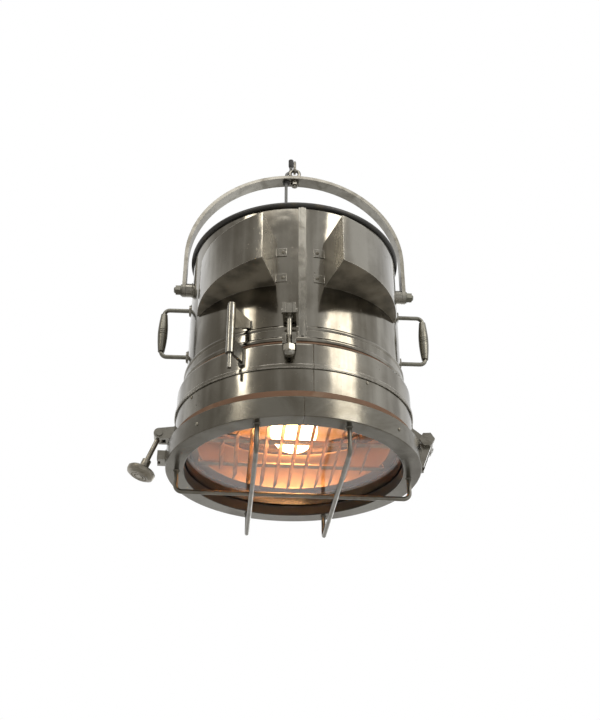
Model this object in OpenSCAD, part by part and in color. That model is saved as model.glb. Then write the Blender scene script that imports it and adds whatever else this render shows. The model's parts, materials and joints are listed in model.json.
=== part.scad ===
// Hanging ship's searchlight: a sheet-steel drum that tilts in a strap yoke,
// with a wider collar, a hinged glass door with a rod guard, and swing-bolt clamps.
// Millimetres, +Z up along the lamp's axis, -Y towards the welded front seam.
// The origin is where the hook or next chain link bears inside the hanger link.

/* [Body] */
// Outside radius of the drum
drum_r = 221; // [212:1:232]
// Height of the drum shell
drum_h = 335; // [327:1:357]
// Thickness of the drum and collar sheet
shell_t = 2; // [1.5:0.1:3]
// Radial step from the drum out to the collar
collar_step = 15; // [13:0.5:17]
// Height of the collar
collar_h = 103; // [99:1:112]
// Thickness of the gasket between drum and collar
joint_gasket_t = 5; // [3:0.5:7]
// Thickness of the gasket between collar and door
door_gasket_t = 16; // [13:0.5:18]
// Rise of the domed top above the drum's edge
dome_rise = 18; // [12:1:26]

/* [Door] */
// Radial step from the collar out to the door ring
door_step = 14; // [12:0.5:16]
// Height of the door ring
bezel_h = 40; // [37:1:44]
// Width of the door ring's flat face
face_w = 36; // [34:0.5:38]
// Depth of the glass seat behind the door's face
seat_z = 18; // [14:0.5:19]
// Thickness of the glass
glass_t = 7; // [5:0.5:8]
// Diameter of the guard rods
guard_rod = 9; // [7:0.5:10]
// Depth of the guard's outer rods below the door face
guard_drop = 48; // [40:1:54]
// Half the spacing of the two front-to-back guard rods
guard_half = 82; // [70:1:95]
// Turn of the guard and louvre from the tilt axis
guard_turn = 1.6; // [0:0.1:4]
// Lean of the louvre's vanes from upright
louvre_lean = 30; // [0:1:35]

/* [Yoke] */
// Width of the yoke strap
strap_w = 30; // [26:1:36]
// Thickness of the yoke strap
strap_t = 8; // [6:0.5:9]
// Gap between drum and yoke strap
yoke_gap = 15; // [13:0.5:18]
// Depth of the tilt pivots below the drum's top edge
pivot_drop = 70; // [60:1:80]
// Rise of the arch centre above the pivots
yoke_rise = 84; // [80:1:100]
// Radius of the pivot studs
stud_r = 7; // [6:0.5:8]

/* [Vents] */
// Height of a vent cowl
cowl_h = 105; // [95:1:110]
// Thickness of the cowl sheet
cowl_t = 1.5; // [1:0.1:2]
// Vent hole diameter in the drum wall
vent_d = 14; // [10:1:18]

/* [Handles] */
// Distance of the grip's axis from the drum
handle_out = 57; // [52:1:62]
// Spacing of the handle's two legs
handle_span = 116; // [110:1:124]
// Diameter of the handle rod
handle_rod = 9; // [8:0.5:10]
// Largest diameter of the grip
grip_d = 21; // [19:0.5:24]

/* [Clamps] */
// Radius of the swing bolts
bolt_r = 4.6; // [4:0.1:5]
// Outward lean of the loose door bolt
door_bolt_lean = 20.5; // [20.5:0.5:24]
// Radius of the door knob
knob_r = 28; // [24:0.5:28]
// Angle of the front drum clamp from the seam
clamp_az = -5; // [-7:0.5:-4]
// Angle of the drum hinge from the seam
hinge_az = -29.5; // [-32:0.5:-27]
// Angle of the door hinge from the seam
door_hinge_az = 82; // [78:1:86]
// Angle of the door clamp from the seam
door_clamp_az = -88; // [-92:1:-84]

/* [Cord] */
// Diameter of the power cord
cord_d = 7; // [6:0.5:7.5]

/* [Hidden] */
$fn = 64;
// Small seats between pieces of one body, running fits and free gaps
seat = 0.2;
run = 0.05;
free = 0.3;
// Levels from the door face upwards
collar_low = bezel_h + free + door_gasket_t + 0.7;
collar_top = collar_low + collar_h;
drum_low = collar_top + joint_gasket_t;
drum_top = drum_low + drum_h;
pivot_z = drum_top - pivot_drop;
arch_z = pivot_z + yoke_rise;
// Radii
collar_r = drum_r + collar_step;
bezel_r = collar_r + door_step;
aperture_r = bezel_r - face_w;
yoke_in = drum_r + yoke_gap;
yoke_out = yoke_in + strap_t;
drum_in = drum_r - shell_t;
collar_in = collar_r - shell_t;
// Hanging eye and link
strap_top = arch_z + yoke_out;
eye_mid_r = 11;
eye_wire = 4;
eye_z = strap_top + free + 4 + eye_mid_r + 2.5;
link_wire = 3;
link_mid_r = 8.5;
link_low_z = eye_z + eye_mid_r - eye_wire - free - link_wire;
link_arc_z = link_low_z + link_mid_r;
link_straight = 14;
hang_z = link_arc_z + link_straight + link_mid_r - link_wire;
// Door ring levels
face_t = 5;
seal_t = 4;
glass_z = seat_z + seal_t;
retain_z = glass_z + glass_t;
retain_h = 22;
seal_w = 12.5;
dam_r = aperture_r + seal_w;
// Louvre behind the glass
louvre_z = retain_z + 4;
louvre_h = 14;
vane_t = 1.6;
vane_h = (louvre_h - vane_t * sin(louvre_lean)) / cos(louvre_lean);
louvre_r = aperture_r - 62;
louvre_pitch = louvre_r / 5.35;
bar_w = 16;
bar_t = 3;
bar_off = 1.9 * louvre_pitch;
flange_in = aperture_r - 24;
louvre_half = sqrt(pow(flange_in + 9, 2) - pow(bar_off + bar_w / 2, 2));
// Reflector and lamp
bracket_z = drum_low + shell_t;
bracket_t = 3;
dish_open_z = bracket_z + bracket_t + free + 1.5;
dish_rim_r = drum_in - 14;
dish_r = 1.2 * dish_rim_r;
dish_cz = dish_open_z - sqrt(dish_r * dish_r - dish_rim_r * dish_rim_r);
bulb_r = 48;
bulb_z = collar_low + 46;
neck_r = 18;
cap_z = bulb_z + bulb_r;
socket_r = 27;
// Vent cowls
cowl_z = drum_top - 96 - cowl_h;
cowl_r = drum_r + 25;
cowl_cx = -0.2 * drum_r;
cowl_cy = -0.41 * drum_r;
tab_levels = [16, cowl_h - 28];
// Clamps
clamp_x = collar_r + 15;
clamp_pin_r = 4;
clamp_pin_z = drum_low + 52.5;
clamp_w = 25;
clamp_lug_h = 22;
clamp_lug_out = 13;
catch_top = collar_top + 6;
catch_low = collar_top - 17;
hinge_x = collar_r + 26;
hinge_skew = -20;
hinge_mid = drum_low + 9;
door_pin_x = bezel_r + 13;
door_pin_z = bezel_h + 14;
door_pin_r = 7;
swing_x = bezel_r + 16;
swing_z = bezel_h + 32;
swing_r = 5;
fork_z = 15;
fork_h = 19;
catch_l = swing_z - fork_z + 0.4;
knob_l = swing_z + 6;
knob_t = 16;
// Handles
handle_z = pivot_z - 54 - handle_span;
handle_bend = 12;
handle_x = drum_r + handle_out;
// Cord route, chosen by hand, from the gland up through the yoke
gland_x = 30;
gland_top = drum_top + 40;
hole_x = -20;
cord_route = [
    [30, 0, 540],
    [30, 2, 556],
    [31, 12, 574],
    [34, 34, 586],
    [37, 58, 578],
    [40, 76, 558],
    [41, 90, 538],
    [38, 108, 526],
    [25, 128, 519],
    [0, 136, 518],
    [-25, 128, 519],
    [-42, 106, 521],
    [-46, 80, 528],
    [-42, 54, 545],
    [-34, 30, 572],
    [-26, 12, 606],
    [-21, 3, 645],
    [-20, 0, 686],
    [-20, 0, 708],
    [-20, 0, 730],
    [-20, 0, 750],
    [-20, 0, 768],
    [-18, 5, 780],
    [-13, 12, 790],
    [-9, 17, 801],
    [-8, 18, 812]
];
route_lift = gland_top - cord_route[0][2];
// A direction the route never follows
cord_side = [0.6, 0, -0.8];
cord_end = cord_route[len(cord_route) - 1];

// Places children with +X pointing outwards at an angle from the front seam
module around(az) {
    rotate([0, 0, az - 90])
        children();
}

// Shifts the lamp so that the hanging point is the origin
module hung() {
    translate([0, 0, -hang_z])
        children();
}

// A round bar along Y, centred
module bar_y(r, l) {
    rotate([90, 0, 0])
        cylinder(r = r, h = l, center = true);
}

// A round bar along X from x0 to x1
module bar_x(r, x0, x1) {
    translate([x0, 0, 0])
        rotate([0, 90, 0])
            cylinder(r = r, h = x1 - x0);
}

// A flat plate in the XZ plane, centred on Y
module plate_y(w) {
    rotate([90, 0, 0])
        linear_extrude(height = w, center = true)
            children();
}

// A tall cylinder used to cut seats to the drum, collar or door ring
module core(r) {
    translate([0, 0, -100])
        cylinder(r = r, h = 1200, $fn = 360);
}

// A round-headed screw pointing inwards along X, its seat at x
module screw_head(x, r, t) {
    translate([x, 0, 0])
        rotate([0, 90, 0])
            cylinder(r1 = r, r2 = r * 0.7, h = t);
}

module hanger_link() {
    color("silver")
        hung() {
            for (s = [-1, 1])
                translate([0, s * link_mid_r, link_arc_z])
                    cylinder(r = link_wire, h = link_straight);
            translate([0, 0, link_arc_z])
                rotate([90, 0, 90])
                    rotate_extrude(angle = -180)
                        translate([link_mid_r, 0])
                            circle(r = link_wire);
            translate([0, 0, link_arc_z + link_straight])
                rotate([90, 0, 90])
                    rotate_extrude(angle = 180)
                        translate([link_mid_r, 0])
                            circle(r = link_wire);
        }
}

// Turns about the arch centre so that children sit square on the strap at x
module on_arch(x) {
    translate([0, 0, arch_z])
        rotate([0, asin(x / (yoke_in + strap_t / 2)), 0])
            children();
}

module yoke_strap() {
    color("silver")
        hung()
            difference() {
                union() {
                    translate([0, 0, arch_z])
                        rotate([90, 0, 0])
                            rotate_extrude(angle = 180, $fn = 128)
                                translate([yoke_in, -strap_w / 2])
                                    square([strap_t, strap_w]);
                    for (s = [-1, 1])
                        translate([s * (yoke_in + strap_t / 2), 0, pivot_z])
                            rotate([0, 90, 0])
                                linear_extrude(height = strap_t, center = true) {
                                    translate([-yoke_rise, -strap_w / 2])
                                        square([yoke_rise, strap_w]);
                                    circle(r = strap_w / 2);
                                }
                }
                for (s = [-1, 1])
                    translate([s * (yoke_in + strap_t / 2), 0, pivot_z])
                        rotate([0, 90, 0])
                            cylinder(r = stud_r + run, h = strap_t * 4, center = true);
                translate([0, 0, arch_z + yoke_in - 10])
                    cylinder(r = 5 + seat, h = strap_t + 20);
                on_arch(hole_x)
                    translate([0, 0, yoke_in - 10])
                        cylinder(r = 6.5, h = strap_t + 20);
            }
}

module eye_bolt() {
    color("silver")
        hung() {
            translate([0, 0, eye_z])
                rotate([90, 0, 0])
                    rotate_extrude()
                        translate([eye_mid_r, 0])
                            circle(r = eye_wire);
            translate([0, 0, strap_top + free])
                cylinder(r = 10, h = 4);
            translate([0, 0, arch_z + yoke_in - 14])
                cylinder(r = 5, h = strap_t + 14 + free + 2);
            translate([0, 0, strap_top + free + 4])
                cylinder(r1 = 7, r2 = 5, h = 4);
        }
}

module eye_nut() {
    color("silver")
        hung()
            difference() {
                union() {
                    translate([0, 0, arch_z + yoke_in - 2.4])
                        cylinder(r = 10, h = 2);
                    translate([0, 0, arch_z + yoke_in - 10.4])
                        cylinder(r = 9.2, h = 8, $fn = 6);
                }
                translate([0, 0, arch_z + yoke_in - 20])
                    cylinder(r = 5 + seat, h = 30);
            }
}

module cord_grommet() {
    color("dimgray")
        hung()
            on_arch(hole_x)
                difference() {
                    union() {
                        translate([0, 0, yoke_in - 3])
                            cylinder(r = 6.3, h = strap_t + 6);
                        translate([0, 0, yoke_out + free])
                            cylinder(r = 8.5, h = 2.7);
                        translate([0, 0, yoke_in - 3])
                            cylinder(r = 8.5, h = 2.6);
                    }
                    translate([0, 0, yoke_in - 20])
                        cylinder(r = cord_d / 2 + 1, h = 50);
                }
}

// Rings of the cord's tube, each square to the route at its point
function unit(v) = v / norm(v);
function along(p, i) = i == 0 || i == len(p) - 1 ? [0, 0, 1]
    : unit(p[i + 1] - p[i - 1]);
function across(t) = unit(cord_side - t * (t * cord_side));
function ring(p, i, r, n) =
    let (t = along(p, i), u = across(t), v = cross(t, u))
    [for (k = [0:n - 1]) p[i] + [0, 0, route_lift] + r * (cos(360 * k / n) * u + sin(360 * k / n) * v)];

module power_cord() {
    n = 10;
    m = len(cord_route);
    pts = [for (i = [0:m - 1]) each ring(cord_route, i, cord_d / 2, n)];
    sides = [for (i = [0:m - 2]) for (k = [0:n - 1])
        [i * n + k, (i + 1) * n + k, (i + 1) * n + (k + 1) % n, i * n + (k + 1) % n]];
    low = [for (k = [0:n - 1]) k];
    high = [for (k = [0:n - 1]) (m - 1) * n + (n - 1 - k)];
    color("dimgray")
        hung()
            polyhedron(points = pts, faces = concat([low], [high], sides), convexity = 8);
}

module cord_connector() {
    color("dimgray")
        hung()
            translate(cord_end + [0, 0, route_lift]) {
                cylinder(r1 = 4.5, r2 = 6, h = 5);
                translate([0, 0, 5])
                    cylinder(r = 6, h = 17);
            }
}

module drum_shell() {
    color("lightgray")
        hung()
            difference() {
                rotate_extrude($fn = 128) {
                    translate([drum_in, drum_low])
                        square([shell_t, drum_h]);
                    translate([drum_r - 14, drum_low])
                        square([14, shell_t]);
                }
                for (s = [-1, 1])
                    for (k = [0:4])
                        for (j = [0:1])
                            around(s * (20 + 8 * k))
                                translate([0, 0, cowl_z + 45 + 30 * j])
                                    bar_x(vent_d / 2, drum_r - 30, drum_r + 30);
                translate([0, 0, pivot_z])
                    rotate([0, 90, 0])
                        cylinder(r = stud_r + seat, h = 3 * drum_r, center = true);
            }
}

module top_cap() {
    steps = 6;
    sheet = 3;
    dome = [for (k = [0:steps]) [drum_r * k / steps, (dome_rise - sheet) * (1 - pow(k / steps, 2))]];
    over = [for (k = [steps:-1:0]) dome[k] + [0, sheet]];
    color("lightgray")
        hung()
            difference() {
                translate([0, 0, drum_top])
                    rotate_extrude($fn = 128)
                        polygon(concat(dome, over));
                translate([gland_x, 0, drum_top])
                    cylinder(r = 8 + seat, h = 100);
            }
}

module rim_ring() {
    color("dimgray")
        hung()
            rotate_extrude($fn = 128)
                translate([0, drum_top - 5.5])
                    intersection() {
                        translate([drum_r, 0])
                            circle(r = 6.5);
                        translate([drum_r + seat, -10])
                            square([20, 20]);
                    }
}

module seam_strip() {
    low = drum_low + 15.2;
    high = drum_top - 13;
    color("lightgray")
        hung()
            around(1)
                difference() {
                    translate([0, 0, low])
                        linear_extrude(height = high - low) {
                            translate([drum_r - 2, -7.5])
                                square([5, 15]);
                            translate([drum_r + 1, -3])
                                square([3.5, 6]);
                        }
                    core(drum_r + seat);
                }
}

// A half-round bead on the drum, its middle at height z
module ring_bead(z, in, r) {
    translate([0, z])
        intersection() {
            translate([drum_r - in, 0])
                circle(r = r);
            translate([drum_r + seat, -2 * r])
                square([4 * r, 4 * r]);
        }
}

module drum_ring() {
    color("lightgray")
        hung()
            difference() {
                rotate_extrude($fn = 128) {
                    translate([drum_r + seat, drum_low + 9])
                        square([3.3, 24]);
                    ring_bead(drum_low + 8, -1, 6.5);
                    ring_bead(drum_low + 33.5, 1, 6.5);
                }
                around(1)
                    translate([drum_r - 10, -7.5 - free, drum_low + 14.7])
                        cube([40, 15 + 2 * free, 60]);
            }
}

module joint_gasket() {
    color("peru")
        hung()
            rotate_extrude($fn = 128)
                translate([drum_r - 14, collar_top])
                    square([22, joint_gasket_t]);
}

module collar_shell() {
    corner = 6;
    color("lightgray")
        hung()
            rotate_extrude($fn = 128) {
                translate([collar_in, collar_low])
                    square([shell_t, collar_h - corner]);
                translate([drum_r - 14, collar_top - shell_t])
                    square([collar_r - corner - drum_r + 14, shell_t]);
                translate([collar_r - corner, collar_top - corner])
                    intersection() {
                        difference() {
                            circle(r = corner);
                            circle(r = corner - shell_t);
                        }
                        square([corner, corner]);
                    }
                translate([flange_in, collar_low])
                    square([collar_r - flange_in, shell_t]);
            }
}

module collar_bead() {
    color("lightgray")
        hung()
            rotate_extrude($fn = 128)
                translate([collar_r + seat, collar_low + 47]) {
                    square([2.2, 9]);
                    translate([0, 1.5])
                        square([3, 6]);
                }
}

module door_gasket() {
    color("peru")
        hung()
            rotate_extrude($fn = 128)
                translate([aperture_r, bezel_h + free])
                    square([collar_r + 2 - aperture_r, collar_low - bezel_h - free]);
}

// Plan of the space between the drum and a right-hand cowl's outer sheet
module cowl_plan(r) {
    in_x = drum_r * sin(12.2);
    in_y = -drum_r * cos(12.2);
    lean = 18;
    intersection() {
        difference() {
            translate([cowl_cx, cowl_cy])
                circle(r = r, $fn = 128);
            circle(r = drum_r + seat, $fn = 128);
        }
        translate([in_x, in_y])
            polygon([[-40 * sin(lean), 40 * cos(lean)], [140 * sin(lean), -140 * cos(lean)], [260, -140],
                [260, 118], [0, 118]]);
    }
}

module cowl() {
    in_x = drum_r * sin(12.2);
    in_y = -drum_r * cos(12.2);
    translate([0, 0, cowl_z]) {
        linear_extrude(height = cowl_t)
            cowl_plan(cowl_r);
        linear_extrude(height = cowl_h)
            difference() {
                cowl_plan(cowl_r);
                cowl_plan(cowl_r - cowl_t);
            }
        linear_extrude(height = cowl_h)
            intersection() {
                cowl_plan(cowl_r);
                translate([in_x, in_y])
                    rotate(18)
                        translate([-20, -140])
                            square([20 + cowl_t, 180]);
            }
        difference() {
            around(9.7)
                for (z = tab_levels)
                    translate([drum_r + seat, -11, z - 9])
                        cube([4, 22, 18]);
            translate([0, 0, -200])
                cylinder(r = drum_r + seat, h = 500, $fn = 128);
            difference() {
                translate([0, 0, -10])
                    cylinder(r = drum_r + 30, h = 200);
                translate([0, 0, -20])
                    cylinder(r = drum_r + seat + cowl_t, h = 300, $fn = 128);
            }
        }
    }
}

module right_cowl() {
    color("lightgray")
        hung()
            cowl();
}

module left_cowl() {
    color("lightgray")
        hung()
            mirror([1, 0, 0])
                cowl();
}

module cowl_screws() {
    color("gray")
        hung()
            for (s = [-1, 1])
                for (z = tab_levels)
                    around(s * 8.6)
                        translate([0, 0, cowl_z + z])
                            screw_head(drum_r + seat + cowl_t + 0.1, 3.6, 2.2);
}

module collar_screws() {
    color("gray")
        hung()
            for (k = [0:3])
                around(k * 90 + 32)
                    translate([0, 0, collar_low + 41])
                        screw_head(collar_r + 0.1, 3.2, 2);
}

module cable_gland() {
    color("gray")
        hung()
            translate([gland_x, 0, 0]) {
                translate([0, 0, drum_top + 2])
                    cylinder(r = 8, h = gland_top - drum_top - 8);
                translate([0, 0, drum_top + dome_rise + 0.3])
                    cylinder(r = 12.5, h = 8, $fn = 6);
                translate([0, 0, gland_top - 12])
                    cylinder(r1 = 9.5, r2 = 6, h = 12);
                translate([0, 0, drum_top + 2])
                    cylinder(r = 12.5, h = 8, $fn = 6);
            }
}

module both_pivots() {
    for (s = [0, 180])
        rotate([0, 0, s])
            translate([0, 0, pivot_z])
                children();
}

module pivot_bosses() {
    color("silver")
        hung()
            difference() {
                both_pivots()
                    difference() {
                        bar_x(15, drum_r - 12, yoke_in - free);
                        bar_x(stud_r + seat, drum_r - 30, yoke_out + 30);
                    }
                core(drum_r + seat);
            }
}

module pivot_studs() {
    color("silver")
        hung()
            both_pivots() {
                bar_x(stud_r, drum_in - 8, yoke_out + 16);
                translate([yoke_out + 16, 0, 0])
                    rotate([0, 90, 0])
                        cylinder(r1 = stud_r, r2 = stud_r - 2, h = 2);
                translate([drum_in - 9, 0, 0])
                    rotate([0, 90, 0])
                        cylinder(r = 12.5, h = 8, $fn = 6);
            }
}

module pivot_washers() {
    color("silver")
        hung()
            both_pivots()
                difference() {
                    bar_x(13, yoke_out + free, yoke_out + 3);
                    bar_x(stud_r + seat, yoke_out - 5, yoke_out + 10);
                }
}

module pivot_nuts() {
    color("silver")
        hung()
            both_pivots()
                difference() {
                    translate([yoke_out + 3, 0, 0])
                        rotate([0, 90, 0])
                            cylinder(r = 11.5, h = 11, $fn = 6);
                    bar_x(stud_r + seat, yoke_out - 5, yoke_out + 30);
                }
}

// A handle rod: two legs and a straight length for the grip
module handle_bar() {
    r = handle_rod / 2;
    straight = handle_span - 2 * handle_bend;
    translate([0, 0, handle_z]) {
        for (z = [0, handle_span])
            translate([0, 0, z])
                bar_x(r, drum_r + 4.5, handle_x - handle_bend);
        translate([handle_x, 0, handle_bend])
            cylinder(r = r, h = straight);
        translate([handle_x - handle_bend, 0, handle_bend])
            rotate([90, 0, 0])
                rotate_extrude(angle = -90)
                    translate([handle_bend, 0])
                        circle(r = r);
        translate([handle_x - handle_bend, 0, handle_bend + straight])
            rotate([90, 0, 0])
                rotate_extrude(angle = 90)
                    translate([handle_bend, 0])
                        circle(r = r);
    }
}

module left_handle() {
    color("silver")
        hung()
            around(-90)
                handle_bar();
}

module right_handle() {
    color("silver")
        hung()
            around(90)
                handle_bar();
}

module handle_feet() {
    color("silver")
        hung()
            difference() {
                for (az = [-90, 90])
                    around(az)
                        for (z = [0, handle_span])
                            translate([0, 0, handle_z + z])
                                bar_x(12, drum_r - 4, drum_r + 4.5);
                core(drum_r + seat);
            }
}

// A turned grip with ring grooves, free to roll on its rod
module grip() {
    l = handle_span - 2 * handle_bend - 2 * free;
    low = handle_z + handle_bend + free;
    big = grip_d / 2;
    small = handle_rod / 2 + 2.5;
    edge = [for (i = [0:8]) [small + (big - small) * sin(i * 22.5), l * i / 8]];
    translate([handle_x, 0, low])
        difference() {
            rotate_extrude()
                polygon(concat([[handle_rod / 2 + run, 0]], edge, [[handle_rod / 2 + run, l]]));
            for (z = [l / 2 - 5, l / 2, l / 2 + 5])
                translate([0, 0, z])
                    rotate_extrude()
                        translate([big + 0.3, 0])
                            circle(r = 1.3);
        }
}

module left_grip() {
    color("silver")
        hung()
            around(-90)
                grip();
}

module right_grip() {
    color("silver")
        hung()
            around(90)
                grip();
}

// Turns a hinge plate about the hinge's pin, off the straight line to the axis
module hinge_plate() {
    translate([hinge_x, 0, 0])
        rotate([0, 0, hinge_skew])
            translate([-hinge_x, 0, 0])
                plate_y(7)
                    children();
}

module hinge_drum_half() {
    color("silver")
        hung()
            around(hinge_az)
                difference() {
                    union() {
                        translate([hinge_x, 0, hinge_mid])
                            cylinder(r = 8, h = drum_low + 75 - hinge_mid);
                        hinge_plate()
                            polygon([[drum_r - 8, drum_low + 46], [drum_r - 8, drum_low + 58],
                                [hinge_x, drum_low + 75], [hinge_x, drum_low + 24]]);
                    }
                    translate([hinge_x, 0, 0])
                        cylinder(r = clamp_pin_r + run, h = 600);
                    core(drum_r + seat);
                }
}

module hinge_collar_half() {
    color("silver")
        hung()
            around(hinge_az)
                difference() {
                    union() {
                        translate([hinge_x, 0, collar_top - 24])
                            cylinder(r = 8, h = hinge_mid - free - collar_top + 24);
                        hinge_plate()
                            polygon([[collar_r - 12, collar_top - 36], [collar_r - 12, collar_top - 7],
                                [hinge_x, collar_top + 11], [hinge_x, collar_top - 21]]);
                    }
                    translate([hinge_x, 0, 0])
                        cylinder(r = clamp_pin_r + run, h = 600);
                    core(collar_r + seat);
                }
}

module hinge_pin() {
    color("silver")
        hung()
            around(hinge_az)
                translate([hinge_x, 0, 0]) {
                    translate([0, 0, collar_top - 55])
                        cylinder(r = clamp_pin_r, h = drum_low + 76 - collar_top + 55);
                    translate([0, 0, drum_low + 75.2])
                        cylinder(r = 7.5, h = 4);
                }
}

module clamps_at() {
    for (k = [0:2])
        around(clamp_az + 120 * k)
            children();
}

module clamp_lugs() {
    color("silver")
        hung()
            difference() {
                clamps_at()
                    difference() {
                        translate([drum_r - 3, -clamp_w / 2, clamp_pin_z - clamp_lug_h / 2])
                            cube([clamp_x + clamp_lug_out - drum_r + 3, clamp_w, clamp_lug_h]);
                        translate([clamp_x - 16.5, -6.3, clamp_pin_z - 20])
                            cube([40, 12.6, 40]);
                        translate([clamp_x, 0, clamp_pin_z])
                            bar_y(clamp_pin_r + seat, 60);
                    }
                core(drum_r + seat);
            }
}

module clamp_catches() {
    color("silver")
        hung()
            difference() {
                clamps_at()
                    difference() {
                        translate([collar_r - 5, -clamp_w / 2, catch_low])
                            cube([clamp_x + 8 - collar_r + 5, clamp_w, catch_top - catch_low]);
                        translate([clamp_x - bolt_r - 0.5, -bolt_r - 0.5, catch_low - 10])
                            cube([40, 2 * bolt_r + 1, 60]);
                    }
                core(collar_r + seat);
            }
}

module clamp_pins() {
    color("silver")
        hung()
            clamps_at()
                translate([clamp_x, 0, clamp_pin_z]) {
                    bar_y(clamp_pin_r, clamp_w + 2);
                    for (s = [-1, 1])
                        translate([0, s * (clamp_w / 2 + 1.3), 0])
                            bar_y(5.5, 2);
                }
}

module clamp_bolt() {
    translate([clamp_x, 0, clamp_pin_z])
        difference() {
            union() {
                bar_y(9, 12);
                translate([0, -6, -10.5])
                    cube([12, 12, 21]);
                translate([0, 0, catch_low - clamp_pin_z - 16])
                    cylinder(r = bolt_r, h = clamp_pin_z - catch_low + 16 - 6);
            }
            bar_y(clamp_pin_r + run, 40);
        }
}

module clamp_nut() {
    translate([clamp_x, 0, catch_low - 0.7 - 13])
        difference() {
            union() {
                cylinder(r = 12, h = 13, $fn = 6);
                intersection() {
                    sphere(r = 10.2);
                    translate([0, 0, -20])
                        cylinder(r = 12, h = 20);
                }
            }
            translate([0, 0, -3.5])
                cylinder(r = bolt_r + seat, h = 40);
        }
}

module front_clamp_bolt() {
    color("silver")
        hung()
            around(clamp_az)
                clamp_bolt();
}

module right_clamp_bolt() {
    color("silver")
        hung()
            around(clamp_az + 120)
                clamp_bolt();
}

module left_clamp_bolt() {
    color("silver")
        hung()
            around(clamp_az + 240)
                clamp_bolt();
}

module front_clamp_nut() {
    color("silver")
        hung()
            around(clamp_az)
                clamp_nut();
}

module right_clamp_nut() {
    color("silver")
        hung()
            around(clamp_az + 120)
                clamp_nut();
}

module left_clamp_nut() {
    color("silver")
        hung()
            around(clamp_az + 240)
                clamp_nut();
}

module door_hinge_lug() {
    color("silver")
        hung()
            around(door_hinge_az)
                difference() {
                    union() {
                        translate([door_pin_x, 0, door_pin_z])
                            bar_y(12, 16);
                        plate_y(16)
                            polygon([[collar_r - 4, collar_low + 2], [collar_r - 4, collar_low + 36],
                                [door_pin_x + 1, door_pin_z + 10], [door_pin_x - 1, door_pin_z - 10],
                                [collar_r + 5, collar_low + 2]]);
                    }
                    core(collar_r + seat);
                    translate([door_pin_x, 0, door_pin_z])
                        bar_y(door_pin_r + run, 60);
                }
}

module door_hinge_bolt() {
    color("silver")
        hung()
            around(door_hinge_az)
                translate([door_pin_x, 0, door_pin_z]) {
                    bar_y(door_pin_r, 40);
                    translate([0, -24, 0])
                        rotate([90, 0, 0])
                            cylinder(r = 15, h = 10, center = true, $fn = 6);
                    translate([0, 23.4, 0])
                        rotate([90, 0, 0])
                            cylinder(r = 14, h = 9, center = true, $fn = 6);
                }
}

module door_ears() {
    color("silver")
        hung()
            around(door_hinge_az)
                difference() {
                    for (s = [-1, 1])
                        translate([0, s * 13.4, 0])
                            plate_y(10) {
                                translate([door_pin_x, door_pin_z])
                                    circle(r = 12);
                                polygon([[bezel_r - 4, 3], [bezel_r + 4, 3], [door_pin_x + 9, door_pin_z - 5],
                                    [door_pin_x - 6, door_pin_z + 8], [bezel_r - 4, bezel_h - 1]]);
                            }
                    core(bezel_r + seat);
                    translate([door_pin_x, 0, door_pin_z])
                        bar_y(door_pin_r + run, 80);
                }
}

module door_clamp_lug() {
    color("silver")
        hung()
            around(door_clamp_az)
                difference() {
                    plate_y(30) {
                        translate([swing_x, swing_z])
                            circle(r = 11);
                        polygon([[collar_r - 4, swing_z - 11], [swing_x, swing_z - 11], [swing_x, swing_z + 11],
                            [collar_r - 4, swing_z + 16]]);
                    }
                    core(collar_r + seat);
                    translate([swing_x - 13, -7.3, swing_z - 40])
                        cube([60, 14.6, 80]);
                    translate([swing_x, 0, swing_z])
                        bar_y(swing_r + seat, 60);
                }
}

module door_clamp_pin() {
    color("silver")
        hung()
            around(door_clamp_az)
                translate([swing_x, 0, swing_z]) {
                    bar_y(swing_r, 32);
                    for (s = [-1, 1])
                        translate([0, s * 16.3, 0])
                            bar_y(7, 2.4);
                }
}

// Leans the door's loose bolt outwards about its pin
module leaning() {
    around(door_clamp_az)
        translate([swing_x, 0, swing_z])
            rotate([0, -door_bolt_lean, 0])
                children();
}

module door_swing_bolt() {
    color("silver")
        hung()
            leaning()
                difference() {
                    union() {
                        bar_y(11, 14);
                        translate([0, 0, -knob_l - 12])
                            cylinder(r = swing_r, h = knob_l + 12 - 7);
                    }
                    bar_y(swing_r + run, 40);
                }
}

module door_knob() {
    color("silver")
        hung()
            leaning()
                difference() {
                    union() {
                        translate([0, 0, -knob_l - knob_t])
                            rotate_extrude()
                                polygon([[0, 0], [knob_r - 8, 0], [knob_r - 2, 3], [knob_r, 7],
                                    [knob_r, knob_t - 3], [knob_r - 3, knob_t], [0, knob_t]]);
                        translate([0, 0, -knob_l])
                            cylinder(r = 9, h = knob_l - catch_l);
                    }
                    translate([0, 0, -knob_l - 12.4])
                        cylinder(r = swing_r + run, h = 60);
                    for (r = [9, 15])
                        translate([0, 0, -knob_l - knob_t])
                            rotate_extrude()
                                translate([r, 0])
                                    circle(r = 1.6);
                }
}

module bezel() {
    wall = 3.5;
    color("gray")
        hung()
            rotate_extrude($fn = 128)
                polygon([[aperture_r, 1], [aperture_r + 1, 0], [bezel_r - 1.5, 0], [bezel_r, 1.5],
                    [bezel_r, bezel_h - 1.5], [bezel_r - 1.5, bezel_h], [dam_r + 4, bezel_h],
                    [dam_r + 4, bezel_h - 4], [bezel_r - 3, bezel_h - 4], [bezel_r - 3, face_t],
                    [aperture_r + wall, face_t], [aperture_r + wall, seat_z - wall],
                    [dam_r + wall, seat_z - wall], [dam_r + wall, retain_z], [dam_r, retain_z],
                    [dam_r, seat_z], [aperture_r, seat_z]]);
}

module bezel_screws() {
    color("gray")
        hung()
            for (s = [-1, 1])
                for (az = [47.5, 132.5])
                    around(s * az)
                        translate([0, 0, bezel_h / 2])
                            screw_head(bezel_r + 0.1, 3.2, 2);
}

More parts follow.
